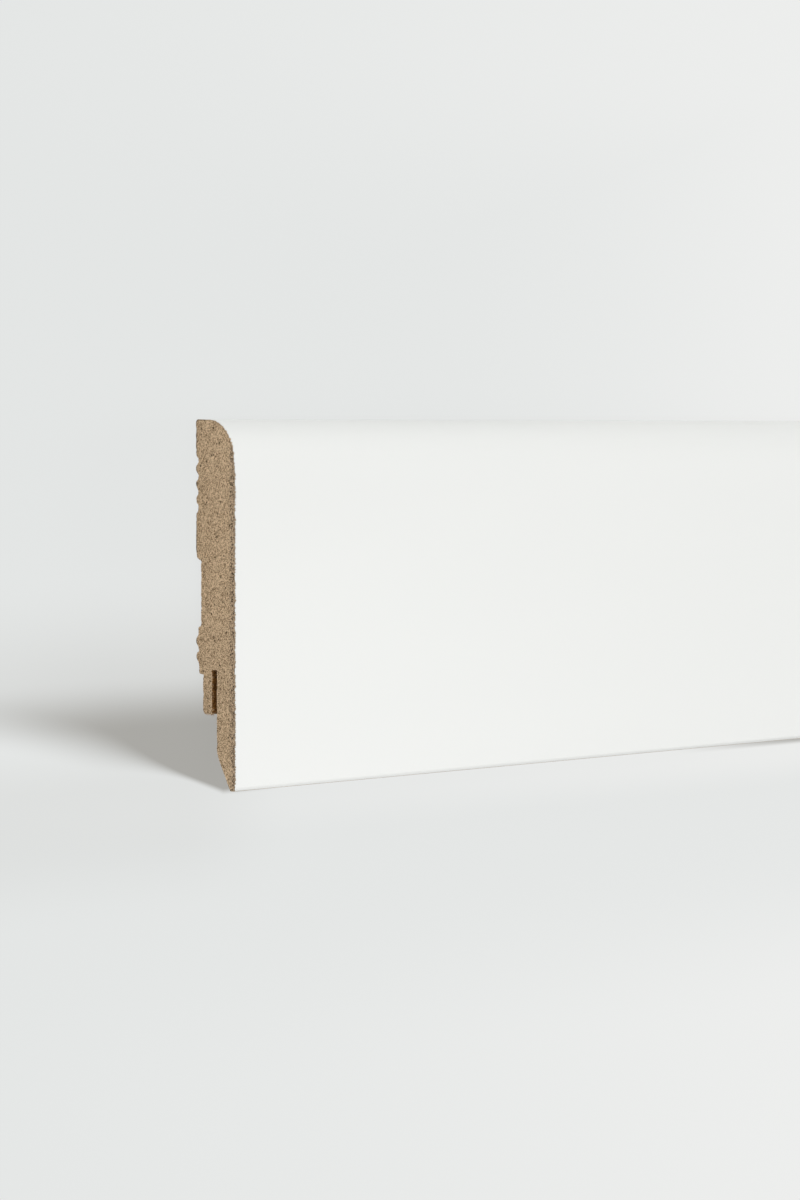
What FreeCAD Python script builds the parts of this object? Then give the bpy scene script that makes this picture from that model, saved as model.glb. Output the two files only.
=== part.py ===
"""A length of skirting board: one plank of fibreboard with a white face and a moulded back. Sizes are in mm.

The board lies on its back, as it does on a rack or a floor. X runs along it, +Y points to its rounded top edge,
and +Z comes out of the white face. The origin is midway along it and midway up it, on the plane of the wall.

The whole board is one section carried along its length. The section is drawn as a ring of corners. Each corner has
a height above the toe, an inset from the wall plane and a radius, and an arc tangent to both sides rounds it off.
"""

import FreeCAD
import Part
import math
import os
from collections import namedtuple

# The board as it is sold
LENGTH = 2400.0
HEIGHT = 77.0
THICKNESS = 14.0

# Rounded top of the white face, which leans back a little before the round begins
NOSE_RADIUS = 8.9
LEAN_ANGLE = 6.5
LEAN_RADIUS = 58.0
BACK_EDGE_RADIUS = 0.8

# Lands that bear on the wall, and the glue grooves between them. Widths are taken halfway down the flanks
TOP_LAND = 7.8
MIDDLE_LAND = 10.2
GROOVE_WIDTH = 1.6
RIDGE_WIDTH = 1.7
GROOVE_DEPTH = 0.8
FLANK_ANGLE = 45.0
CREST_RADIUS = 0.8
GROOVE_RADIUS = 0.3
GROOVE_PITCH = GROOVE_WIDTH + RIDGE_WIDTH

# Shallow recess under the middle land, with bevelled sides, and the land's lower edge eased off towards it
RECESS_HEIGHT = 13.3
RECESS_DEPTH = 1.8
RECESS_BEVEL = 0.6
EASED_HEIGHT = 2.1
EASED_DEPTH = 0.4

# Pair of ridges under the recess
LOWER_RIDGES = 2
LOWER_RIDGE_INSET = 3.4
LOWER_STRIP = 10.4
ROOT_DEPTH = 1.0
ROOT_RADIUS = 0.7

# Tongue that hooks over a mounting rail, and the saw slot in front of it
RAIL_SPACE = 15.5
TONGUE_LENGTH = 8.1
TONGUE_THICKNESS = 3.3
TONGUE_RELIEF = 2.5
TONGUE_RADIUS = 0.8
SLOT_WIDTH = 1.7
SLOT_DEPTH = 9.3
SAW_RADIUS = 0.15

# Lip that hides the rail and tapers down to the toe
TAPER_ANGLE = 33.5
TAPER_RADIUS = 4.0
TOE_LAND = 1.7
TOE_FRONT_RADIUS = 1.0
TOE_BACK_RADIUS = 0.4

Corner = namedtuple("Corner", "height inset radius")


def tan(degrees):
    return math.tan(math.radians(degrees))


def white_face():
    """Up the face, through the lean and the round, and over the top to the wall plane."""
    lean_tangent = LEAN_RADIUS * tan(LEAN_ANGLE / 2)
    nose_tangent = NOSE_RADIUS * tan((90 - LEAN_ANGLE) / 2)
    drop = (lean_tangent + nose_tangent) * math.cos(math.radians(LEAN_ANGLE))
    return [
        Corner(0, THICKNESS, TOE_FRONT_RADIUS),
        Corner(HEIGHT - drop, THICKNESS, LEAN_RADIUS),
        Corner(HEIGHT, THICKNESS - drop * tan(LEAN_ANGLE), NOSE_RADIUS),
        Corner(HEIGHT, 0, BACK_EDGE_RADIUS),
    ]


def into_groove(middle, depth=GROOVE_DEPTH):
    """The flank that falls from a crest on the wall plane to a groove. The height middle is halfway down it."""
    run = depth / tan(FLANK_ANGLE) / 2
    return [Corner(middle + run, 0, CREST_RADIUS), Corner(middle - run, depth, GROOVE_RADIUS)]


def out_of_groove(middle):
    """The flank that climbs from a groove to the next crest down."""
    run = GROOVE_DEPTH / tan(FLANK_ANGLE) / 2
    return [Corner(middle + run, GROOVE_DEPTH, GROOVE_RADIUS), Corner(middle - run, 0, CREST_RADIUS)]


def glue_grooves(land_above, land_below):
    """Grooves at one pitch, as many as fit between the two lands. They open onto the wall plane."""
    count = max(0, round((land_above - land_below + RIDGE_WIDTH) / GROOVE_PITCH))
    corners = []
    for i in range(count):
        edge = land_above - i * GROOVE_PITCH
        corners += into_groove(edge) + out_of_groove(edge - GROOVE_WIDTH)
    return corners


def recess(top, bottom):
    """The middle land's eased edge, the bevelled step into the recess, and the bevel out of it."""
    return [
        Corner(top + RECESS_BEVEL + EASED_HEIGHT, 0, CREST_RADIUS),
        Corner(top + RECESS_BEVEL, EASED_DEPTH, GROOVE_RADIUS),
        Corner(top, RECESS_DEPTH, SAW_RADIUS),
        Corner(bottom, RECESS_DEPTH, SAW_RADIUS),
        Corner(bottom - RECESS_BEVEL, GROOVE_DEPTH, GROOVE_RADIUS),
    ]


def lower_ridges(top, root):
    """Ridges like those between the grooves, then the step in to the back of the tongue."""
    corners = []
    for i in range(LOWER_RIDGES):
        middle = top - LOWER_RIDGE_INSET - i * GROOVE_PITCH
        depth_below = ROOT_DEPTH if i == LOWER_RIDGES - 1 else GROOVE_DEPTH
        corners += out_of_groove(middle + RIDGE_WIDTH / 2)
        corners += into_groove(middle - RIDGE_WIDTH / 2, depth_below)
    return corners + [
        Corner(root, ROOT_DEPTH, ROOT_RADIUS),
        Corner(root, TONGUE_RELIEF, SAW_RADIUS),
    ]


def tongue_and_slot():
    """Down the back of the tongue, round its end, and up both walls of the slot."""
    slot_back = TONGUE_RELIEF + TONGUE_THICKNESS
    slot_front = slot_back + SLOT_WIDTH
    return [
        Corner(RAIL_SPACE, TONGUE_RELIEF, TONGUE_RADIUS),
        Corner(RAIL_SPACE, slot_back, SAW_RADIUS),
        Corner(RAIL_SPACE + SLOT_DEPTH, slot_back, SAW_RADIUS),
        Corner(RAIL_SPACE + SLOT_DEPTH, slot_front, SAW_RADIUS),
    ]


def lip():
    """Down the back of the lip, in line with the slot's front wall, and along the taper to the toe."""
    back = TONGUE_RELIEF + TONGUE_THICKNESS + SLOT_WIDTH
    toe = THICKNESS - TOE_LAND
    return [
        Corner((toe - back) / tan(TAPER_ANGLE), back, TAPER_RADIUS),
        Corner(0, toe, TOE_BACK_RADIUS),
    ]


def section_corners():
    """All corners of the section, once round it. Heights on the back build up from the toe and down from the top."""
    tongue_root = RAIL_SPACE + TONGUE_LENGTH
    recess_bottom = tongue_root + LOWER_STRIP
    recess_top = recess_bottom + RECESS_HEIGHT
    return (
        white_face()
        + glue_grooves(HEIGHT - TOP_LAND, recess_top + MIDDLE_LAND)
        + recess(recess_top, recess_bottom)
        + lower_ridges(recess_bottom, tongue_root)
        + tongue_and_slot()
        + lip()
    )


def at(corner):
    return FreeCAD.Vector(-LENGTH / 2, corner.height - HEIGHT / 2, corner.inset)


def rounded_wire(corners):
    """A closed wire of straight runs and tangent arcs. Two radii that need more than their shared side share it."""
    points = [at(c) for c in corners]
    count = len(points)
    sides = [(points[(i + 1) % count] - points[i]) for i in range(count)]
    half_angles = [(-sides[i - 1]).getAngle(sides[i]) / 2 for i in range(count)]
    wanted = [c.radius / math.tan(h) for c, h in zip(corners, half_angles)]
    shares = [min(1.0, sides[i].Length / (wanted[i] + wanted[(i + 1) % count])) for i in range(count)]
    edges = []
    arcs = []
    for i, point in enumerate(points):
        tangent = wanted[i] * min(shares[i - 1], shares[i])
        towards_last = FreeCAD.Vector(-sides[i - 1]).normalize()
        towards_next = FreeCAD.Vector(sides[i]).normalize()
        bisector = (towards_last + towards_next).normalize()
        radius = tangent * math.tan(half_angles[i])
        middle = point + bisector * (radius / math.sin(half_angles[i]) - radius)
        arcs.append((point + towards_last * tangent, middle, point + towards_next * tangent))
    for i, (start, middle, end) in enumerate(arcs):
        edges.append(Part.Arc(start, middle, end).toShape())
        next_start = arcs[(i + 1) % count][0]
        if end.distanceToPoint(next_start) > 1e-6:
            edges.append(Part.LineSegment(end, next_start).toShape())
    return Part.Wire(edges)


def skirting_board():
    """The section carried from one sawn end to the other."""
    section = Part.Face(rounded_wire(section_corners()))
    return section.extrude(FreeCAD.Vector(LENGTH, 0, 0))


def main():
    os.makedirs("parts", exist_ok=True)
    board = skirting_board()
    board.exportStep("parts/skirting_board.step")
    print(f"section {board.Volume / LENGTH:.1f} mm2, volume {board.Volume / 1e9:.6f} m3, valid {board.isValid()}")


main()
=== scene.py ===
"""The looks of a length of skirting board: sawn and moulded fibreboard, its white coat, and a pale studio.

It is run as a script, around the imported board. Everything is in metres in the board's own frame. X runs
along the board, +Y points to its rounded top edge, +Z comes out of its white face, and the floor is at Z = 0.
"""

import math

import bpy
import numpy as np
from bpy.props import FloatProperty, FloatVectorProperty, IntProperty, PointerProperty
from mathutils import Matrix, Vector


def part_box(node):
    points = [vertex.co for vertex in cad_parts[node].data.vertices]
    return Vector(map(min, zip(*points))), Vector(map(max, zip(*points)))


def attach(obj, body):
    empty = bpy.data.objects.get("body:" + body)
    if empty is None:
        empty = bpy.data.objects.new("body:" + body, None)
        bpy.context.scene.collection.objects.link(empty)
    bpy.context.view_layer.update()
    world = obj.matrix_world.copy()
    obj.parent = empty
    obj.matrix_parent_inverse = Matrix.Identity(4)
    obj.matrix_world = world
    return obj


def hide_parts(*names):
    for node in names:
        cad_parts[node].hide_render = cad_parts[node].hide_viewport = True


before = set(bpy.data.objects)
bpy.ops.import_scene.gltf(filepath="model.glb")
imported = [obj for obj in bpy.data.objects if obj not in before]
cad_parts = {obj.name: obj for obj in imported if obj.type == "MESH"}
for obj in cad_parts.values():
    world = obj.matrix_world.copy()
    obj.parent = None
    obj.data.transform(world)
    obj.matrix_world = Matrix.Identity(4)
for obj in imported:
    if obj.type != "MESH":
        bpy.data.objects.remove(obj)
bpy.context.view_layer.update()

bl_info = {
    "name": "Skirting board",
    "version": (1, 0, 0),
    "blender": (4, 5, 0),
    "location": "3D View > Sidebar > Skirting",
    "description": "Makes the fibreboard, white coat and studio around a packed length of skirting board",
    "category": "Object",
}

NODE = "skirting_board"
MM = 0.001
BOARD_LOW, BOARD_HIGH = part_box(NODE)

# Points on each arc, and how many steps of the toe's arc stay bare under the edge of the coat
ARC_POINTS = 25
# The bare strip is bare board, and it is also left wide enough to show as a thin dark line along the bottom
# edge, as painted shade there.
BARE_STEPS = 8

# Share of the coat's thickness by which the fibreboard is held back under it
HELD_BACK = 0.8


def length(name, description, millimetres):
    """A size that the user can change. It is given in millimetres and kept in metres."""
    return FloatProperty(
        name=name,
        description=description,
        default=millimetres * MM,
        min=0.0,
        precision=5,
        subtype="DISTANCE",
        unit="LENGTH",
    )


def colour(name, description, red, green, blue):
    """A colour that the user can change."""
    return FloatVectorProperty(
        name=name,
        description=description,
        default=(red, green, blue),
        min=0.0,
        max=1.0,
        subtype="COLOR",
    )


def share(name, description, default):
    """A share from 0 to 1 that the user can change."""
    return FloatProperty(
        name=name,
        description=description,
        default=default,
        min=0.0,
        max=1.0,
        subtype="FACTOR",
    )


class SkirtingProfile(bpy.types.PropertyGroup):
    """Sizes of the moulded section. Heights count up from the toe, and insets from the wall plane."""

    nose_radius: length("Nose radius", "Round at the top of the face", 8.9)
    lean_radius: length("Lean radius", "Gentle bend where the face starts to lean back", 58.0)
    lean_angle: FloatProperty(
        name="Lean angle",
        description="How far the face leans back before the nose",
        default=math.radians(6.5),
        subtype="ANGLE",
        unit="ROTATION",
    )
    taper_angle: FloatProperty(
        name="Taper angle",
        description="Slope of the back of the lip towards the toe",
        default=math.radians(33.5),
        subtype="ANGLE",
        unit="ROTATION",
    )
    back_edge_radius: length("Back edge radius", "Round between the top and the wall plane", 0.8)
    top_land: length("Top land", "Flat above the glue grooves", 7.8)
    groove_count: IntProperty(
        name="Grooves",
        description="Glue grooves under the top land",
        default=4,
        min=0,
    )
    groove_width: length("Groove width", "Width halfway down the flanks", 1.6)
    ridge_width: length("Ridge width", "Width halfway up the flanks", 1.7)
    groove_depth: length("Groove depth", "Depth under the wall plane", 0.8)
    crest_radius: length("Crest radius", "Round at the top of each flank", 0.8)
    groove_radius: length("Groove radius", "Round at the foot of each flank", 0.3)
    recess_top: length("Recess top", "Height at which the recess ends", 47.3)
    recess_bottom: length("Recess bottom", "Height at which the recess starts", 34.0)
    recess_depth: length("Recess depth", "Depth under the wall plane", 1.8)
    recess_bevel: length("Recess bevel", "Width of the bevel at each side of the recess", 0.6)
    eased_height: length("Eased height", "Height over which the middle land is eased off", 2.1)
    eased_depth: length("Eased depth", "Depth to which the middle land is eased off", 0.4)
    lower_ridge_inset: length("Lower ridge inset", "From the recess to the middle of the ridge below", 3.4)
    root_depth: length("Root depth", "Depth of the strip above the tongue", 1.0)
    root_radius: length("Root radius", "Round at the root of the tongue", 0.7)
    tongue_root: length("Tongue root", "Height of the step above the tongue", 23.6)
    tongue_relief: length("Tongue relief", "Depth of the back of the tongue", 2.5)
    tongue_thickness: length("Tongue thickness", "Thickness of the tongue", 3.3)
    tongue_radius: length("Tongue radius", "Round at the lower end of the tongue", 0.8)
    rail_space: length("Rail space", "Height of the space under the tongue", 15.5)
    slot_width: length("Slot width", "Width of the saw slot in front of the tongue", 1.7)
    slot_depth: length("Slot depth", "Depth of the saw slot, upwards", 9.3)
    saw_radius: length("Saw radius", "Round in a corner that a saw leaves", 0.15)
    taper_radius: length("Taper radius", "Bend between the back of the lip and its taper", 4.0)
    toe_land: length("Toe land", "Flat at the foot of the face", 1.7)
    toe_front_radius: length("Toe front radius", "Round at the front of the toe", 1.0)
    toe_back_radius: length("Toe back radius", "Round at the back of the toe", 0.4)


class FibreboardFinish(bpy.types.PropertyGroup):
    """Colours and wear of the bare fibreboard."""

    core: colour("Core", "Light fibres between the hard skins", 0.692, 0.506, 0.325)
    shade: colour("Shade", "Dark hollows between the fibres", 0.19, 0.122, 0.062)
    pit: colour("Pit", "Deep dark specks", 0.04, 0.022, 0.010)
    skin: colour("Skin", "Light fibres in the hard skins under the coat and on the back", 0.60, 0.44, 0.29)
    skin_shade: colour("Skin shade", "Dark hollows in the hard skins", 0.075, 0.048, 0.028)
    skin_pit: colour("Skin pit", "Dark specks in the hard skins", 0.05, 0.036, 0.024)
    # The rim colour is painted shade: a thin dark rim along the edge of a cut.
    rim: colour("Rim", "Crushed fibres on the rim of a cut", 0.10, 0.080, 0.045)
    planed: colour("Planed", "Light fibres where a cutter planed the core", 0.58, 0.42, 0.275)
    planed_shade: colour("Planed shade", "Dark fibres there", 0.37, 0.25, 0.15)
    planed_skin: colour("Planed skin", "Light fibres where a cutter planed the hard skins", 0.45, 0.345, 0.24)
    planed_skin_shade: colour("Planed skin shade", "Dark fibres there", 0.27, 0.195, 0.125)
    # The two slot colours are painted shade: the saw slot's walls are coloured dark for the shade deep inside
    # it.
    slot_shade_pale: colour("Scorch", "Light fibres in the saw slot, darkened by the blade", 0.30, 0.142, 0.036)
    char: colour("Char", "Dark fibres in the saw slot", 0.105, 0.042, 0.009)
    skin_depth: length("Skin depth", "Thickness of the hard skin under the face", 1.4)
    back_skin_depth: length("Back skin depth", "Thickness of the hard skin on the back", 0.45)
    end_depth: length("End depth", "Length of board that belongs to each sawn end", 4.0)
    raggedness: length("Raggedness", "How far the saw tears the rim of an end", 0.15)


class WhiteCoatFinish(bpy.types.PropertyGroup):
    """Colours and thickness of the white coat."""

    white: colour("White", "Colour of the coat", 0.785, 0.793, 0.774)
    cloud: colour("Cloud", "Tone that its faint unevenness goes towards", 0.60, 0.61, 0.60)
    dust: colour("Dust", "Colour of the few specks on it", 0.25, 0.24, 0.22)
    thickness: length("Thickness", "Thickness of the coat", 0.12)
    chipping: length("Chipping", "How far back the saw chips the coat at an end", 0.46)


class SawFuzz(bpy.types.PropertyGroup):
    """Fibres that the saw leaves standing on the rim of an end."""

    fibres: IntProperty(name="Fibres", description="Fibres on each end", default=420, min=1)
    pale: colour("Pale", "Colour of the palest fibres", 0.66, 0.48, 0.30)
    dark: colour("Dark", "Colour of the darkest fibres", 0.42, 0.27, 0.15)
    fibre_length: length("Fibre length", "Length of a middling fibre", 0.32)
    fibre_width: length("Fibre width", "Width of a fibre at its root", 0.09)


class Studio(bpy.types.PropertyGroup):
    """Floor, light and camera."""

    # Painted light: the floor goes from its first colour to the paler second one further along the board. The
    # wedge colour is painted shadow.
    floor: colour("Floor", "Colour of the floor by the near end", 0.767, 0.784, 0.777)
    floor_beyond: colour("Floor beyond", "Colour of the floor further along the board", 0.862, 0.868, 0.858)
    wedge: colour("Wedge", "Colour of the floor in the wedge of shade by the near end", 0.405, 0.398, 0.375)
    sky: share("Sky", "Strength of the light from all round", 0.52)
    shade_lift: share("Shade lift", "Share of the floor's colour that shadows leave by the near end", 0.95)
    lift_beyond: share("Lift beyond", "The same, further along the board", 0.50)
    lens: FloatProperty(
        name="Lens",
        description="Focal length on a 36 mm sensor, in millimetres",
        default=87.81,
        min=1.0,
        subtype="DISTANCE_CAMERA",
    )


def flank(p, middle, depth, rising=False):
    """One flank of a groove, as two corners, at 45 degrees. The height middle is halfway down it.

    Going down the board, it falls from the wall plane to the groove's floor, or rises from that floor.
    """
    crest, floor = (0.0, p.crest_radius), (depth, p.groove_radius)
    upper, lower = (floor, crest) if rising else (crest, floor)
    return [(middle + depth / 2, *upper), (middle - depth / 2, *lower)]


def face_corners(p):
    """The two corners above the toe's: where the face starts to lean, and where the lean meets the top."""
    height, thickness = BOARD_HIGH.y - BOARD_LOW.y, BOARD_HIGH.z
    lean_tangent = p.lean_radius * math.tan(p.lean_angle / 2)
    nose_tangent = p.nose_radius * math.tan((math.pi / 2 - p.lean_angle) / 2)
    drop = (lean_tangent + nose_tangent) * math.cos(p.lean_angle)
    return [
        (height - drop, thickness, p.lean_radius),
        (height, thickness - drop * math.tan(p.lean_angle), p.nose_radius),
    ]


def section_corners(p):
    """Height, inset and radius of each corner: up the face, over the top, and down the back to the toe."""
    height, thickness = BOARD_HIGH.y - BOARD_LOW.y, BOARD_HIGH.z
    pitch = p.groove_width + p.ridge_width
    corners = [(0.0, thickness, p.toe_front_radius)]
    corners += face_corners(p)
    corners += [(height, 0.0, p.back_edge_radius)]
    for i in range(p.groove_count):
        edge = height - p.top_land - i * pitch
        corners += flank(p, edge, p.groove_depth)
        corners += flank(p, edge - p.groove_width, p.groove_depth, rising=True)
    corners += [
        (p.recess_top + p.recess_bevel + p.eased_height, 0.0, p.crest_radius),
        (p.recess_top + p.recess_bevel, p.eased_depth, p.groove_radius),
        (p.recess_top, p.recess_depth, p.saw_radius),
        (p.recess_bottom, p.recess_depth, p.saw_radius),
        (p.recess_bottom - p.recess_bevel, p.groove_depth, p.groove_radius),
    ]
    ridge = p.recess_bottom - p.lower_ridge_inset
    for middle, depth_below in ((ridge, p.groove_depth), (ridge - pitch, p.root_depth)):
        corners += flank(p, middle + p.ridge_width / 2, p.groove_depth, rising=True)
        corners += flank(p, middle - p.ridge_width / 2, depth_below)
    slot_back = p.tongue_relief + p.tongue_thickness
    slot_front = slot_back + p.slot_width
    slot_top = p.rail_space + p.slot_depth
    toe = thickness - p.toe_land
    return corners + [
        (p.tongue_root, p.root_depth, p.root_radius),
        (p.tongue_root, p.tongue_relief, p.saw_radius),
        (p.rail_space, p.tongue_relief, p.tongue_radius),
        (p.rail_space, slot_back, p.saw_radius),
        (slot_top, slot_back, p.saw_radius),
        (slot_top, slot_front, p.saw_radius),
        ((toe - slot_front) / math.tan(p.taper_angle), slot_front, p.taper_radius),
        (0.0, toe, p.toe_back_radius),
    ]


def unit(vectors):
    """The vectors at length 1."""
    return vectors / np.linalg.norm(vectors, axis=-1, keepdims=True)


def rounded(corners):
    """Rounds a closed ring of corners, and gives an array of arcs: corner, point, and height and inset.

    Each side is cut back by the radius over the tangent of half the corner's angle. The arc's centre lies up
    the bisector by the radius over the sine of that half angle, and the arc turns evenly from cut to cut. Two
    cuts that are together longer than their side share it.
    """
    corners = np.array(corners)
    point, radius = corners[:, :2], corners[:, 2]
    side = np.roll(point, -1, axis=0) - point
    ahead = unit(side)
    behind = -np.roll(ahead, 1, axis=0)
    half = np.arccos(np.clip((ahead * behind).sum(1), -1, 1)) / 2
    wanted = radius / np.tan(half)
    held = np.minimum(1, np.linalg.norm(side, axis=1) / (wanted + np.roll(wanted, -1)))
    cut = wanted * np.minimum(held, np.roll(held, 1))
    centre = point + unit(ahead + behind) * (cut / np.cos(half))[:, None]
    start = point + behind * cut[:, None] - centre
    end = point + ahead * cut[:, None] - centre
    turn = (math.pi - 2 * half)[:, None]
    t = np.linspace(0, 1, ARC_POINTS)[None, :]
    from_start = np.sin((1 - t) * turn) / np.sin(turn)
    from_end = np.sin(t * turn) / np.sin(turn)
    return centre[:, None] + start[:, None] * from_start[..., None] + end[:, None] * from_end[..., None]


def distance_along(path):
    """Distance from the start of a path to each of its points."""
    steps = np.linalg.norm(np.diff(path[:, :2], axis=0), axis=1)
    return np.concatenate([[0.0], np.cumsum(steps)])


def evened(path, spacing):
    """A path's columns at even distances along it, a spacing or a little less apart, ends included."""
    along = distance_along(path)
    shortest_step = 1e-6 * MM
    kept = np.concatenate([[True], np.diff(along) > shortest_step])
    count = int(math.ceil(along[-1] / spacing)) + 1
    wanted = np.linspace(0, along[-1], count)
    return np.stack([np.interp(wanted, along[kept], column[kept]) for column in path.T], axis=1)


def outward(path, closed):
    """Unit normals that point out of the board, a quarter turn from the path's direction at each point."""
    if closed:
        along = np.roll(path, -1, axis=0) - np.roll(path, 1, axis=0)
    else:
        along = np.gradient(path, axis=0)
    along = unit(along)
    return np.stack([-along[:, 1], along[:, 0]], axis=1)


def board_ring(p, spacing):
    """The section as a closed ring of heights, insets, and ones where the coat covers it or else zeros."""
    arcs = rounded(section_corners(p))
    covered = np.zeros(arcs.shape[:2] + (1,))
    covered[:3] = 1.0
    covered[0, : BARE_STEPS + 1] = 0.0
    path = np.concatenate([arcs, covered], axis=2).reshape(-1, 3)
    ring = evened(np.concatenate([path, path[:1]]), spacing)
    return ring[:-1]


def coat_path(p, spacing):
    """The line that the coat covers: from the toe's round, up the face, and over the nose and the top."""
    arcs = rounded(section_corners(p))
    path = np.concatenate([arcs[0, BARE_STEPS:], arcs[1:3].reshape(-1, 2), arcs[3, :1]])
    return evened(path, spacing)


def uneven(along, grain, seed):
    """Smooth noise from 0 to 1 along a line: random numbers a grain apart, joined by half cosine waves."""
    random = np.random.default_rng(seed)
    cells = along / grain
    values = random.random(int(cells.max()) + 3)
    cell = cells.astype(int)
    blend = (1 - np.cos(math.pi * (cells - cell))) / 2
    return values[cell] * (1 - blend) + values[cell + 1] * blend


def placed(height, inset, x):
    """Points of the board's frame, from heights above the toe, insets from the wall plane, and X."""
    height, inset, x = np.broadcast_arrays(height, inset, x)
    return np.stack([x, height + BOARD_LOW.y, inset], axis=-1)


def ring_faces(rows, count):
    """Quads between the rows of a tube whose rows close. Point j of row i is vertex i * count + j."""
    i, j = np.meshgrid(np.arange(rows - 1), np.arange(count), indexing="ij")
    after = (j + 1) % count
    quads = [i * count + j, (i + 1) * count + j, (i + 1) * count + after, i * count + after]
    return np.stack(quads, axis=-1).reshape(-1, 4)


def new_piece(name, points, faces, materials, indexes=None, sharp_degrees=35):
    """A mesh piece that rides on the board. Its edges are sharp where faces meet at more than the angle.

    The indexes say which of the materials each face has. Without them, all have the first.
    """
    mesh = bpy.data.meshes.new(name)
    mesh.from_pydata(points.reshape(-1, 3).tolist(), [], faces)
    for material in materials:
        mesh.materials.append(material)
    if indexes is not None:
        mesh.polygons.foreach_set("material_index", np.asarray(indexes, dtype=np.int32))
    mesh.polygons.foreach_set("use_smooth", np.ones(len(mesh.polygons), dtype=bool))
    mesh.set_sharp_from_angle(angle=math.radians(sharp_degrees))
    if mesh.validate(verbose=True):
        raise ValueError(f"{name} had faces that are not valid")
    piece = bpy.data.objects.new(name, mesh)
    bpy.context.scene.collection.objects.link(piece)
    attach(piece, "root")
    return piece


class Wire:
    """A number or colour that changes over a surface. Arithmetic on numbers adds Math nodes."""

    def __init__(self, nodes, socket):
        self.nodes = nodes
        self.socket = socket

    def math(self, operation, first, second):
        sockets = {"Value": first, "Value_001": second}
        return self.nodes.add("Math", {"operation": operation}, sockets)

    def at_least(self, other):
        """The larger of the two."""
        return self.math("MAXIMUM", self, other)

    def root(self):
        """The square root."""
        return self.math("POWER", self, 0.5)

    def __add__(self, other):
        return self.math("ADD", self, other)

    def __sub__(self, other):
        return self.math("SUBTRACT", self, other)

    def __rsub__(self, other):
        return self.math("SUBTRACT", other, self)

    def __mul__(self, other):
        return self.math("MULTIPLY", self, other)

    __radd__ = __add__
    __rmul__ = __mul__


class Nodes:
    """Builds the nodes of one material or world."""

    def __init__(self, owner):
        owner.use_nodes = True
        self.tree = owner.node_tree
        self.tree.nodes.clear()

    def add(self, kind, settings, sockets, output=None):
        """Adds a node of a type, with its settings, which are set first, and its sockets' values or links."""
        node = self.tree.nodes.new("ShaderNode" + kind)
        for name, value in settings.items():
            setattr(node, name, value)
        for name, value in sockets.items():
            socket = next(s for s in node.inputs if s.identifier == name)
            if isinstance(value, Wire):
                self.tree.links.new(value.socket, socket)
            elif isinstance(socket.default_value, float):
                socket.default_value = value
            else:
                socket.default_value = tuple(value) + (1.0,) * (len(socket.default_value) - len(value))
        found = [s for s in node.outputs if s.identifier == output] if output else node.outputs
        return Wire(self, found[0]) if len(found) else None

    def millimetres(self, stretch=(1.0, 1.0, 1.0)):
        """The piece's own coordinates in millimetres, stretched along each axis."""
        place = self.add("TexCoord", {}, {}, "Object")
        scale = tuple(s / MM for s in stretch)
        return self.add("VectorMath", {"operation": "MULTIPLY"}, {"Vector": place, "Vector_001": scale})

    def moved(self, place, by):
        """Coordinates moved by a vector, so that no flat face lies on the grid where a noise is weakest."""
        return self.add("VectorMath", {"operation": "ADD"}, {"Vector": place, "Vector_001": by})

    def parts(self, place, axes):
        """The parts of the coordinates along the named axes."""
        return [self.add("SeparateXYZ", {}, {"Vector": place}, axis) for axis in axes]

    def noise(self, place, scale, detail, roughness=0.5):
        """Cloudy noise round 0.5, with so many cells to a millimetre."""
        sockets = {"Vector": place, "Scale": scale, "Detail": detail, "Roughness": roughness}
        return self.add("TexNoise", {}, sockets, "Fac")

    def specks(self, place, scale):
        """Distance from the nearest of the points that are scattered one to a cell."""
        return self.add("TexVoronoi", {}, {"Vector": place, "Scale": scale}, "Distance")

    def grains(self, place, scale):
        """A random tone for each grain. The grains grow from points that are scattered one to a cell."""
        return self.add("TexVoronoi", {}, {"Vector": place, "Scale": scale}, "Color")

    def ramp(self, value, low, high):
        """Rises smoothly from 0 at low to 1 at high, or falls if low is the higher."""
        sockets = {"Value": value, "From Min": low, "From Max": high, "To Min": 0.0, "To Max": 1.0}
        return self.add("MapRange", {"interpolation_type": "SMOOTHSTEP"}, sockets, "Result")

    def mix(self, share_of_b, a, b):
        """Colour a where the share is 0, and colour b where it is 1 or more."""
        sockets = {"Factor_Float": share_of_b, "A_Color": a, "B_Color": b}
        return self.add("Mix", {"data_type": "RGBA"}, sockets, "Result_Color")

    def bump(self, height, distance, strength):
        """Normals of a surface that stands out by the height times the distance, in metres."""
        sockets = {"Height": height, "Distance": distance, "Strength": strength}
        return self.add("Bump", {}, sockets, "Normal")

    def looked_at(self):
        """1 where the camera, a reflection or a clear body looks at it, and 0 where it only gives light."""
        kinds = ("Camera", "Glossy", "Transmission")
        camera, glossy, transmission = [self.add("LightPath", {}, {}, f"Is {kind} Ray") for kind in kinds]
        return camera.at_least(glossy.at_least(transmission))

    def surface(self, sockets):
        """A Principled surface, joined to the material's output."""
        shader = self.add("BsdfPrincipled", {}, sockets, "BSDF")
        self.add("OutputMaterial", {}, {"Surface": shader})


def skin_share(nodes, finish, place, reach):
    """1 in the hard skins under the face and on the back, and 0 in the core.

    The reach is how far their edges wander, in mm.
    """
    (inset,) = nodes.parts(place, "Z")
    wander = (nodes.noise(place, 0.55, 3.0) - 0.25) * reach
    thickness = BOARD_HIGH.z / MM
    front = thickness - finish.skin_depth / MM
    back = finish.back_skin_depth / MM
    at_face = nodes.ramp(inset + wander, front - 0.6, front + 0.9)
    at_back = nodes.ramp(inset + wander, back + 0.6, back + 0.1)
    return at_face + at_back


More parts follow.
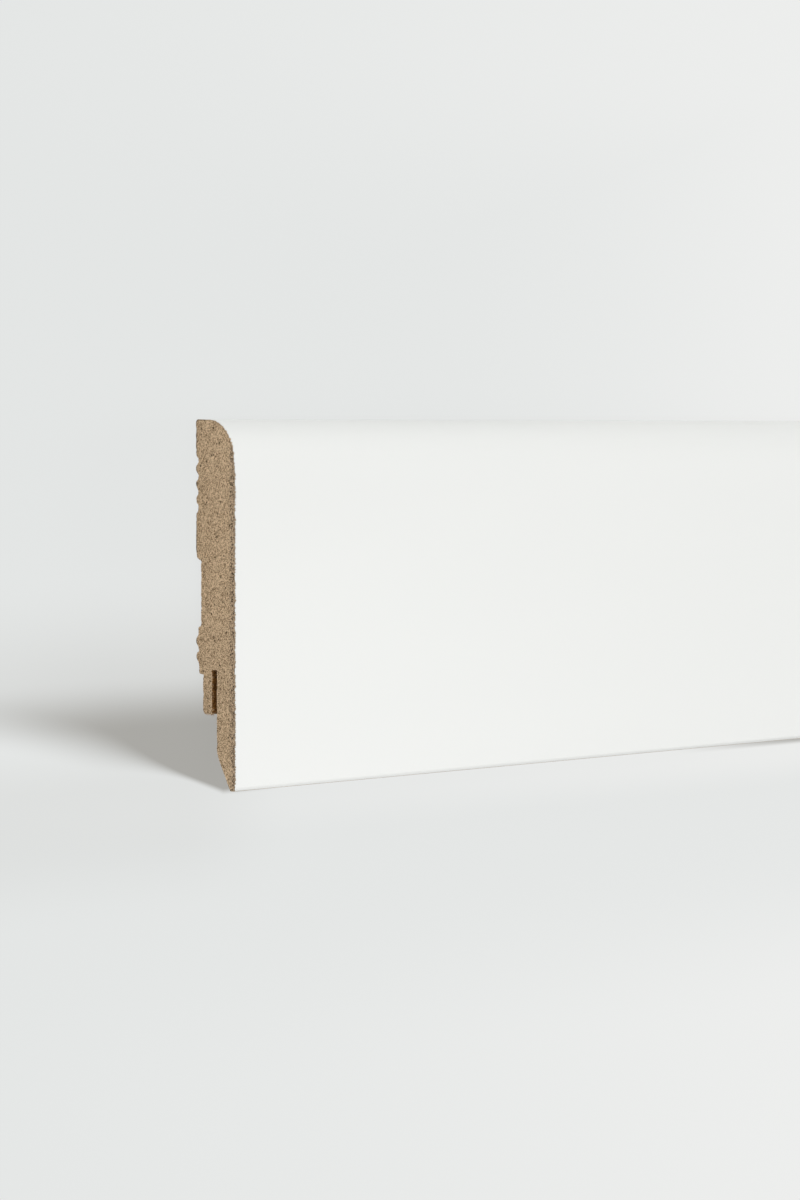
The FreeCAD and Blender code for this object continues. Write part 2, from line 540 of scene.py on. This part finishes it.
def slot_shade_share(nodes, p, place):
    """1 on the walls of the saw slot, which are painted dark as shade, and 0 everywhere else."""
    up, inset = nodes.parts(place, "YZ")
    height = up - BOARD_LOW.y / MM
    back = (p.tongue_relief + p.tongue_thickness) / MM
    front = back + p.slot_width / MM
    low, high = p.rail_space / MM, (p.rail_space + p.slot_depth) / MM
    across = nodes.ramp(inset, back - 0.2, back - 0.02) * nodes.ramp(inset, front + 0.2, front + 0.02)
    return across * nodes.ramp(height, low - 0.1, low + 0.6) * nodes.ramp(height, high + 0.2, high + 0.02)


def rim_shade_share(nodes, p, place):
    """1 on a hair's breadth of the cut along the wall plane, the top and the nose, where shade is painted,
    and 0 further in.

    Distance is measured from the centre of the nose's round. Behind that centre only the height over it
    counts, so the same distance serves the top.
    """
    up, inset = nodes.parts(place, "YZ")
    radius = p.nose_radius / MM
    lean_top = face_corners(p)[1][1] / MM
    centre_inset = lean_top - radius * (1 - math.sin(p.lean_angle)) / math.cos(p.lean_angle)
    centre_up = BOARD_HIGH.y / MM - radius
    forwards = (inset - centre_inset).at_least(0.0)
    upwards = (up - centre_up).at_least(0.0)
    distance = (forwards * forwards + upwards * upwards).root()
    by_the_top = nodes.ramp(up, centre_up - 2.0, centre_up + 2.0)
    on_the_top = nodes.ramp(distance, radius - 0.38, radius - 0.12) * by_the_top
    return nodes.ramp(inset, 0.36, 0.10).at_least(on_the_top)


def sawn_fibreboard(p, finish):
    """Fibreboard across the saw cut: light fibres and dark hollows, a few dark specks and a thin rim of
    painted shade.
    """
    material = bpy.data.materials.new("sawn_fibreboard")
    nodes = Nodes(material)
    place = nodes.millimetres()
    skin = skin_share(nodes, finish, place, 1.4)
    off_grid = nodes.moved(place, (0.37, 0.61, 0.23))
    cloud = nodes.noise(off_grid, 0.35, 2.0)
    grain = nodes.grains(off_grid, 6.0) * 0.8 + nodes.noise(off_grid, 4.1, 1.0) * 0.2
    light = nodes.ramp(grain + (cloud - 0.5) * 0.14, 0.27, 0.60)
    pits = nodes.ramp(nodes.specks(off_grid, 0.6), 0.16, 0.11)
    skin_pits = nodes.ramp(nodes.specks(off_grid, 1.5), 0.38, 0.24) * skin
    body = nodes.mix(light, finish.shade, finish.core)
    dense = nodes.mix(light, finish.skin_shade, finish.skin)
    base = nodes.mix(skin, body, dense)
    base = nodes.mix(pits * 0.9, base, finish.pit)
    base = nodes.mix(skin_pits * 0.85, base, finish.skin_pit)
    # Painted shade: a thin dark rim along the edge of the cut.
    base = nodes.mix(rim_shade_share(nodes, p, place) * 0.6, base, finish.rim)
    nodes.surface(
        {
            "Base Color": base,
            "Roughness": 0.92 - light * 0.06,
            "Specular IOR Level": 0.15,
            "Normal": nodes.bump(light - pits - skin_pits, 0.00010, 0.7),
        }
    )
    return material


def machined_fibreboard(p, finish):
    """Fibreboard that a cutter has planed along the board: smoother, with long fine tracks, and painted shade
    in the saw slot.
    """
    material = bpy.data.materials.new("machined_fibreboard")
    nodes = Nodes(material)
    place = nodes.millimetres()
    skin = skin_share(nodes, finish, place, 0.3)
    grain = nodes.noise(place, 2.2, 3.0, 0.65)
    fibres = nodes.noise(nodes.millimetres((0.35, 1.0, 1.0)), 1.6, 3.0, 0.6)
    tracks = nodes.noise(nodes.millimetres((0.004, 1.0, 1.0)), 4.0, 2.0, 0.6)
    light = nodes.ramp(grain * 0.4 + fibres * 0.35 + tracks * 0.25, 0.36, 0.60)
    body = nodes.mix(light, finish.planed_shade, finish.planed)
    dense = nodes.mix(light, finish.planed_skin_shade, finish.planed_skin)
    # Painted shade: the walls of the saw slot are coloured dark for the shade inside it.
    slot_shade = nodes.mix(nodes.ramp(grain, 0.40, 0.62), finish.char, finish.slot_shade_pale)
    base = nodes.mix(slot_shade_share(nodes, p, place), nodes.mix(skin, body, dense), slot_shade)
    nodes.surface(
        {
            "Base Color": base,
            "Roughness": 0.85 - light * 0.10,
            "Specular IOR Level": 0.12,
            "Normal": nodes.bump(light, 0.00006, 0.7),
        }
    )
    return material


def white_coat(coat):
    """Satin white: a very faint uneven tone, a fine even tooth, and a few specks of dust."""
    material = bpy.data.materials.new("white_coat")
    nodes = Nodes(material)
    place = nodes.millimetres()
    cloud = nodes.noise(nodes.millimetres((0.3, 1.0, 1.0)), 0.03, 2.0)
    tooth = nodes.noise(place, 1.4, 2.0)
    base = nodes.mix(nodes.ramp(cloud, 0.3, 0.7) * 0.035, coat.white, coat.cloud)
    dust = nodes.ramp(nodes.specks(place, 0.045), 0.0062, 0.0040)
    nodes.surface(
        {
            "Base Color": nodes.mix(dust * 0.8, base, coat.dust),
            "Roughness": 0.50 + tooth * 0.08,
            "Specular IOR Level": 0.35,
            "Normal": nodes.bump(tooth, 0.00001, 0.6),
        }
    )
    return material


def loose_fibre(fuzz):
    """Fine wood fibre, lighter and warmer than the board it stands on."""
    material = bpy.data.materials.new("loose_fibre")
    nodes = Nodes(material)
    tone = nodes.ramp(nodes.noise(nodes.millimetres(), 1.1, 1.0), 0.35, 0.65)
    base = nodes.mix(tone, fuzz.dark, fuzz.pale)
    nodes.surface({"Base Color": base, "Roughness": 0.9, "Specular IOR Level": 0.2})
    return material


def floor_tone(nodes, studio, beyond, height):
    """Colour of the floor, with painted light and shade: lighter further along, less so beside the board,
    with three patches of shade.

    The photograph's board stands, and its shadow falls on the floor as a wedge. One that lies down can't
    throw it, so the floor is painted darker there, as a shadow. At d mm off the near end, the wedge starts
    1.0 + 0.385 d -
    0.0018 d^2 mm above the toe. Upwards it fades out, most of it between heights of 12.5 and 24 mm and the
    rest by 46 mm. There is a trace of painted shade in front of the toe by the near end too. Further along, a
    narrow painted dark line under the toe stands for the shade in the gap that a standing board leaves there.
    All of this has faded out 800 mm beyond the near end, and 300 mm off it. The paler tone further along is
    painted light, and holding it back beside the board paints soft shade there.
    """
    off = (beyond * -1.0).at_least(-7.0)
    over = height - off * 0.385 + off * off * 0.0018 - 1.0
    soft = nodes.ramp(off, 0, 30) * 4.6 + 0.9
    depth = nodes.ramp(height, 24, 12.5) * 0.68 + nodes.ramp(height, 46, 15) * 0.32
    reach = nodes.ramp(off, 125, 15) * nodes.ramp(beyond, 24, 12)
    wedge = nodes.ramp(over, soft * -1.0, soft) * depth * reach
    foreground = nodes.ramp(height, -28, -6) * nodes.ramp(height, 12, 0)
    foreground = foreground * nodes.ramp(beyond, 26, -6) * nodes.ramp(beyond, -300, -130) * 0.13
    contact = nodes.ramp(height, -3.5, -2.2) * nodes.ramp(height, 1, 0) * 0.85
    contact = contact * nodes.ramp(beyond, 135, 188) * nodes.ramp(beyond, 500, 300)
    # Painted soft shade: the floor is kept darker beside the board's near part.
    clear = nodes.ramp(height, -25, -70).at_least(nodes.ramp(height, 110, 160))
    clear = clear.at_least(nodes.ramp(height, -14, -5) * nodes.ramp(height, 60, 20))
    clear = clear.at_least(nodes.ramp(beyond, 50, 190) * nodes.ramp(height, 20, 80))
    clear = clear.at_least(nodes.ramp(beyond, 300, 800))
    # Painted light: the floor grows lighter further along the board.
    light = nodes.ramp(beyond, -150, 300) * (clear * 0.7 + 0.3)
    plain = nodes.mix(light, studio.floor, studio.floor_beyond)
    # Painted shadow: the wedge, the trace in front of the toe and the dark line under the toe.
    return nodes.mix(wedge + foreground + contact, plain, studio.wedge)


def studio_floor(studio):
    """A matt floor. To the camera, shadows take only part of its colour away.

    Its tone goes by the distance beyond the near end and the height above the toe, in mm.
    """
    material = bpy.data.materials.new("studio_floor")
    nodes = Nodes(material)
    along, up = nodes.parts(nodes.millimetres(), "XY")
    beyond = along - BOARD_LOW.x / MM
    tone = floor_tone(nodes, studio, beyond, up - BOARD_LOW.y / MM)
    lit = nodes.add("BsdfDiffuse", {}, {"Color": tone})
    glow = nodes.add("Emission", {}, {"Color": tone})
    more_lift = studio.shade_lift - studio.lift_beyond
    lift = nodes.ramp(beyond, 500, 200) * more_lift + studio.lift_beyond
    both = nodes.add("MixShader", {}, {"Fac": nodes.looked_at() * lift, "Shader": lit, "Shader_001": glow})
    nodes.add("OutputMaterial", {}, {"Surface": both})
    return material


def torn_rim(ring, finish, seed):
    """How far in the saw tears each point of a ring: the product of two noises, and a little everywhere.

    One noise has the size of a fibre and one that of a tuft. Fibres tear less where the coat holds them.
    """
    along = distance_along(ring)
    fibre, tuft = 0.26 * MM, 1.1 * MM
    everywhere, held_by_coat = 0.08, 0.45
    rough = uneven(along, fibre, seed) * uneven(along, tuft, seed + 1)
    return finish.raggedness * (everywhere + 2.0 * rough) * (1 - held_by_coat * ring[:, 2])


class SKIRTING_OT_make_fibreboard(bpy.types.Operator):
    """Makes the moulded length of fibreboard and its two sawn ends"""

    bl_idname = "skirting.make_fibreboard"
    bl_label = "Make fibreboard"
    bl_options = {"REGISTER", "UNDO"}

    def execute(self, context):
        scene = context.scene
        groups = scene.skirting_profile, scene.skirting_fibreboard, scene.skirting_coat
        sawn = sawn_fibreboard(*groups[:2])
        machined = machined_fibreboard(*groups[:2])
        self.make_length(groups, machined)
        self.make_end("near_sawn_end", BOARD_LOW.x, 1.0, 11, groups, [sawn, machined])
        self.make_end("far_sawn_end", BOARD_HIGH.x, -1.0, 29, groups, [sawn, machined])
        return {"FINISHED"}

    def make_length(self, groups, machined):
        """The section carried from one sawn end to the other, held back under the coat."""
        p, finish, coat = groups
        rows = 25
        ring = board_ring(p, spacing=0.4 * MM)
        section = ring[:, :2] - outward(ring[:, :2], True) * (coat.thickness * HELD_BACK * ring[:, 2:])
        x = np.linspace(BOARD_LOW.x + finish.end_depth, BOARD_HIGH.x - finish.end_depth, rows)
        points = placed(section[None, :, 0], section[None, :, 1], x[:, None])
        faces = ring_faces(rows, len(section)).tolist()
        faces += [cap.tolist() for cap in self.caps(rows, len(section))]
        piece = new_piece("moulded_length", points, faces, [machined])
        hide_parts(NODE)

    def make_end(self, name, x_end, inwards, seed, groups, materials):
        """The last few millimetres of the section. Inwards is the sign of X into the board.

        The tear is full at the cut, falls off exponentially with depth, and is none 1 mm in. The cap on the
        cut has the sawn material, and everything else the machined one.
        """
        p, finish, coat = groups
        ring = board_ring(p, spacing=0.12 * MM)
        tear = torn_rim(ring, finish, seed)
        depth = np.append(np.array([0.0, 0.05, 0.12, 0.25, 0.5, 1.0]) * MM, finish.end_depth)
        fade = np.exp(-depth / (0.22 * MM))
        fade[-2:] = 0
        inset = fade[:, None] * tear + coat.thickness * HELD_BACK * ring[:, 2]
        section = ring[None, :, :2] - outward(ring[:, :2], True)[None] * inset[..., None]
        x = x_end + inwards * depth
        points = placed(section[..., 0], section[..., 1], x[:, None])
        faces = ring_faces(len(x), len(ring))
        caps = self.caps(len(x), len(ring))
        if inwards < 0:
            faces, caps = faces[:, ::-1], [cap[::-1] for cap in caps]
        indexes = np.ones(len(faces) + len(caps))
        indexes[len(faces)] = 0
        faces = faces.tolist() + [cap.tolist() for cap in caps]
        new_piece(name, points, faces, materials, indexes)

    def caps(self, rows, count):
        """The faces that close a tube at its first and its last row."""
        return [np.arange(count), np.arange(rows * count - 1, (rows - 1) * count - 1, -1)]


class SKIRTING_OT_make_white_coat(bpy.types.Operator):
    """Makes the white coat over the face, the nose, the top and the toe, chipped where the board was sawn"""

    bl_idname = "skirting.make_white_coat"
    bl_label = "Make white coat"
    bl_options = {"REGISTER", "UNDO"}

    def execute(self, context):
        p, coat = context.scene.skirting_profile, context.scene.skirting_coat
        points = self.points(p, coat)
        faces = self.faces(*points.shape[:2])
        new_piece("white_coat", points, faces, [white_coat(coat)])
        return {"FINISHED"}

    def points(self, p, coat):
        """Rows of a tube, up the covered line and back along its inner side, from one sawn end to the other.

        The coat thins to a tenth over the last half millimetre at its two edges. At a cut the rows move in by
        the chips there, and further in by less and less, down to nothing 1.5 mm from the cut.
        """
        path = coat_path(p, spacing=0.09 * MM)
        along = distance_along(path)
        from_edge = np.minimum(along, along[-1] - along)
        thickness = coat.thickness * np.clip(from_edge / (0.5 * MM), 0.1, 1)
        inner = path - outward(path, False) * thickness[:, None]
        section = np.concatenate([path, inner[::-1]])
        middle = np.linspace(BOARD_LOW.x, BOARD_HIGH.x, 13)[1:-1]
        ends = np.array([0.0, 0.15, 0.5, 1.5, 4.0]) * MM
        fade = np.array([1.0, 0.9, 0.6, 0.0, 0.0])
        x = np.concatenate([BOARD_LOW.x + ends, middle, BOARD_HIGH.x - ends[::-1]])
        moved = np.zeros((len(x), len(section)))
        moved[: len(ends)] = fade[:, None] * self.chips(along, coat, seed=5)
        moved[-len(ends) :] = -fade[::-1, None] * self.chips(along, coat, seed=17)
        return placed(section[None, :, 0], section[None, :, 1], x[:, None] + moved)

    def chips(self, along, coat, seed):
        """How far the coat is chipped back at each point of it, in small teeth that come and go in size."""
        tooth, run = 0.19 * MM, 0.9 * MM
        size = 0.6 + 0.4 * uneven(along, run, seed + 1)
        chip = coat.chipping * uneven(along, tooth, seed) * size
        return np.concatenate([chip, chip[::-1]])[None, :]

    def faces(self, rows, count):
        """The tube's quads, and a strip at each end that closes it between the outer and the inner line."""
        j = np.arange(count // 2 - 1)
        near = np.stack([j, j + 1, count - 2 - j, count - 1 - j], axis=1)
        far = near[:, ::-1] + (rows - 1) * count
        return np.concatenate([ring_faces(rows, count), near, far]).tolist()


class SKIRTING_OT_make_saw_fuzz(bpy.types.Operator):
    """Makes the loose fibres that the saw leaves on the rims of the two ends"""

    bl_idname = "skirting.make_saw_fuzz"
    bl_label = "Make saw fuzz"
    bl_options = {"REGISTER", "UNDO"}

    def execute(self, context):
        p, fuzz = context.scene.skirting_profile, context.scene.skirting_fuzz
        near = self.fibres(p, fuzz, BOARD_LOW.x, 1.0, 41)
        far = self.fibres(p, fuzz, BOARD_HIGH.x, -1.0, 43)
        points = np.concatenate([near, far])
        fibres, rows, count = points.shape[:3]
        tube = ring_faces(rows, count)[:, ::-1]
        ends = np.array([[2, 1, 0], [-3, -2, -1]]) % (rows * count)
        first = np.arange(fibres)[:, None, None] * rows * count
        faces = (first + tube).reshape(-1, 4).tolist() + (first + ends).reshape(-1, 3).tolist()
        new_piece("saw_fuzz", points, faces, [loose_fibre(fuzz)], sharp_degrees=80)
        return {"FINISHED"}

    def likely(self, p, ring):
        """Chance of a fibre at each point of the ring: on bare board off the wall, mostly by the tongue."""
        height, inset, covered = ring.T
        open_space = (covered < 0.01) & (inset > 0.35 * MM) & (height > 0.8 * MM)
        under_tongue = (height < p.rail_space + 0.3 * MM) & (inset < p.tongue_relief + p.tongue_thickness)
        weight = open_space * (1.0 + 7.0 * under_tongue)
        return weight / weight.sum()

    def fibres(self, p, fuzz, x_end, inwards, seed):
        """Tapered three-sided fibres, as an array of fibre, row, corner and axis.

        Each starts on the rim, leans out of the board and along it, and bends evenly by a random turn. Those
        that would leave the board's box are left out.
        """
        random = np.random.default_rng(seed)
        ring = board_ring(p, spacing=0.2 * MM)
        start = random.choice(len(ring), fuzz.fibres, p=self.likely(p, ring))
        out = outward(ring[:, :2], True)[start]
        sideways = np.stack([-out[:, 1], out[:, 0]], axis=1) * random.normal(0, 0.9, (fuzz.fibres, 1))
        inward = inwards * np.abs(random.normal(0, 0.35, fuzz.fibres))
        lean = unit(np.column_stack([inward, out + sideways]))
        bend = random.normal(0, 0.5, (fuzz.fibres, 3))
        size = fuzz.fibre_length * random.lognormal(0, 0.45, fuzz.fibres)
        t = np.linspace(0, 1, 4)
        x = x_end + inwards * random.uniform(0.06, 0.3, fuzz.fibres) * MM
        sunk = 0.1 * MM
        root = placed(ring[start, 0] - out[:, 0] * sunk, ring[start, 1] - out[:, 1] * sunk, x)
        line = lean[:, None] * t[None, :, None] + bend[:, None] * (t * t)[None, :, None] * 0.5
        line = root[:, None] + line * size[:, None, None]
        across = unit(np.cross(lean, random.normal(0, 1, (fuzz.fibres, 3))))
        upright = np.cross(lean, across)
        turn = np.arange(3) * math.tau / 3
        width = fuzz.fibre_width / 2 * random.uniform(0.5, 1.2, (fuzz.fibres, 1)) * (1 - 0.85 * t[None, :])
        rim = np.cos(turn)[:, None] * across[:, None] + np.sin(turn)[:, None] * upright[:, None]
        points = line[:, :, None] + rim[:, None] * width[:, :, None, None]
        margin = 0.01 * MM
        inside = (points > np.array(BOARD_LOW) + margin) & (points < np.array(BOARD_HIGH) - margin)
        inside = inside.all(axis=(1, 2, 3))
        return points[inside]


class SKIRTING_OT_make_studio(bpy.types.Operator):
    """Makes the pale floor, the soft light and the camera"""

    bl_idname = "skirting.make_studio"
    bl_label = "Make studio"
    bl_options = {"REGISTER", "UNDO"}

    def execute(self, context):
        studio = context.scene.skirting_studio
        self.make_floor(studio)
        self.make_light(studio)
        self.make_camera(studio)
        context.scene.view_settings.view_transform = "Standard"
        return {"FINISHED"}

    def make_floor(self, studio):
        """A level square just under the board."""
        half_side, level = 40.0, -0.1 * MM
        side = np.array([-half_side, half_side])
        x, y = np.meshgrid(side, side, indexing="ij")
        points = np.stack([x, y, np.full_like(x, level)], axis=-1).reshape(-1, 3)
        mesh = bpy.data.meshes.new("studio_floor")
        mesh.from_pydata(points.tolist(), [], [(0, 2, 3, 1)])
        mesh.materials.append(studio_floor(studio))
        floor = bpy.data.objects.new("studio_floor", mesh)
        bpy.context.scene.collection.objects.link(floor)

    def make_light(self, studio):
        """An even sky, three soft suns that light the face, the near end and the top, and a small lamp."""
        world = bpy.data.worlds.new("studio_sky")
        bpy.context.scene.world = world
        nodes = Nodes(world)
        looked_at = nodes.looked_at()
        even = looked_at * (1 - studio.sky) + studio.sky
        seen = nodes.mix(looked_at, (1.0, 1.0, 1.0), studio.floor)
        sky = nodes.add("Background", {}, {"Color": seen, "Strength": even})
        nodes.add("OutputWorld", {}, {"Surface": sky})
        # Strength, and in degrees the softness and the turns about X and Y
        suns = {
            "key_sun": (1.98, 24, (3, 69)),
            "end_sun": (0.56, 50, (0, -72)),
            "top_sun": (0.95, 70, (-62, 0)),
        }
        for name, (strength, softness, turn) in suns.items():
            self.add_lamp(name, "SUN", strength, turn).data.angle = math.radians(softness)
        near_lamp = self.add_lamp("near_lamp", "AREA", 0.095, (20, -6))
        near_lamp.location = (BOARD_LOW.x - 0.02, -0.10, 0.22)
        near_lamp.visible_camera = False
        near_lamp.data.shape = "DISK"
        near_lamp.data.size = 0.16

    def add_lamp(self, name, kind, energy, turn):
        """A lamp that shines straight down until it is turned, by degrees about X and then about Y."""
        lamp = bpy.data.lights.new(name, kind)
        lamp.energy = energy
        holder = bpy.data.objects.new(name, lamp)
        holder.rotation_euler = (math.radians(turn[0]), math.radians(turn[1]), 0)
        bpy.context.scene.collection.objects.link(holder)
        return holder

    def make_camera(self, studio):
        """Above the sawn end and to its left, looking down across the white face with the top edge up."""
        camera = bpy.data.cameras.new("camera")
        camera.lens = studio.lens
        camera.sensor_width = 36.0
        camera.clip_start = 0.01
        camera.clip_end = 200.0
        holder = bpy.data.objects.new("camera", camera)
        holder.location = (-1.54894, 0.03846, 0.50584)
        holder.rotation_mode = "ZXY"
        holder.rotation_euler = (math.radians(-3.518), math.radians(-38.590), math.radians(0.169))
        bpy.context.scene.collection.objects.link(holder)
        bpy.context.scene.camera = holder


class VIEW3D_PT_skirting(bpy.types.Panel):
    """Lists what can be made, each with its sizes and colours"""

    bl_idname = "VIEW3D_PT_skirting"
    bl_label = "Skirting board"
    bl_space_type = "VIEW_3D"
    bl_region_type = "UI"
    bl_category = "Skirting"

    def draw(self, context):
        scene = context.scene
        rows = (
            (SKIRTING_OT_make_fibreboard, (scene.skirting_profile, scene.skirting_fibreboard)),
            (SKIRTING_OT_make_white_coat, (scene.skirting_coat,)),
            (SKIRTING_OT_make_saw_fuzz, (scene.skirting_fuzz,)),
            (SKIRTING_OT_make_studio, (scene.skirting_studio,)),
        )
        for operator, groups in rows:
            box = self.layout.box()
            for group in groups:
                for name in group.__annotations__:
                    box.prop(group, name)
            box.operator(operator.bl_idname)


OPERATORS = (
    SKIRTING_OT_make_fibreboard,
    SKIRTING_OT_make_white_coat,
    SKIRTING_OT_make_saw_fuzz,
    SKIRTING_OT_make_studio,
)
GROUPS = {
    "skirting_profile": SkirtingProfile,
    "skirting_fibreboard": FibreboardFinish,
    "skirting_coat": WhiteCoatFinish,
    "skirting_fuzz": SawFuzz,
    "skirting_studio": Studio,
}


def register():
    for kind in (*GROUPS.values(), *OPERATORS, VIEW3D_PT_skirting):
        bpy.utils.register_class(kind)
    for name, kind in GROUPS.items():
        setattr(bpy.types.Scene, name, PointerProperty(type=kind))


def unregister():
    for name in GROUPS:
        delattr(bpy.types.Scene, name)
    for kind in (VIEW3D_PT_skirting, *reversed(OPERATORS), *reversed(GROUPS.values())):
        bpy.utils.unregister_class(kind)


def main():
    """Makes every piece and the studio."""
    register()
    bpy.ops.skirting.make_fibreboard()
    bpy.ops.skirting.make_white_coat()
    bpy.ops.skirting.make_saw_fuzz()
    bpy.ops.skirting.make_studio()


if __name__ == "__main__":
    main()
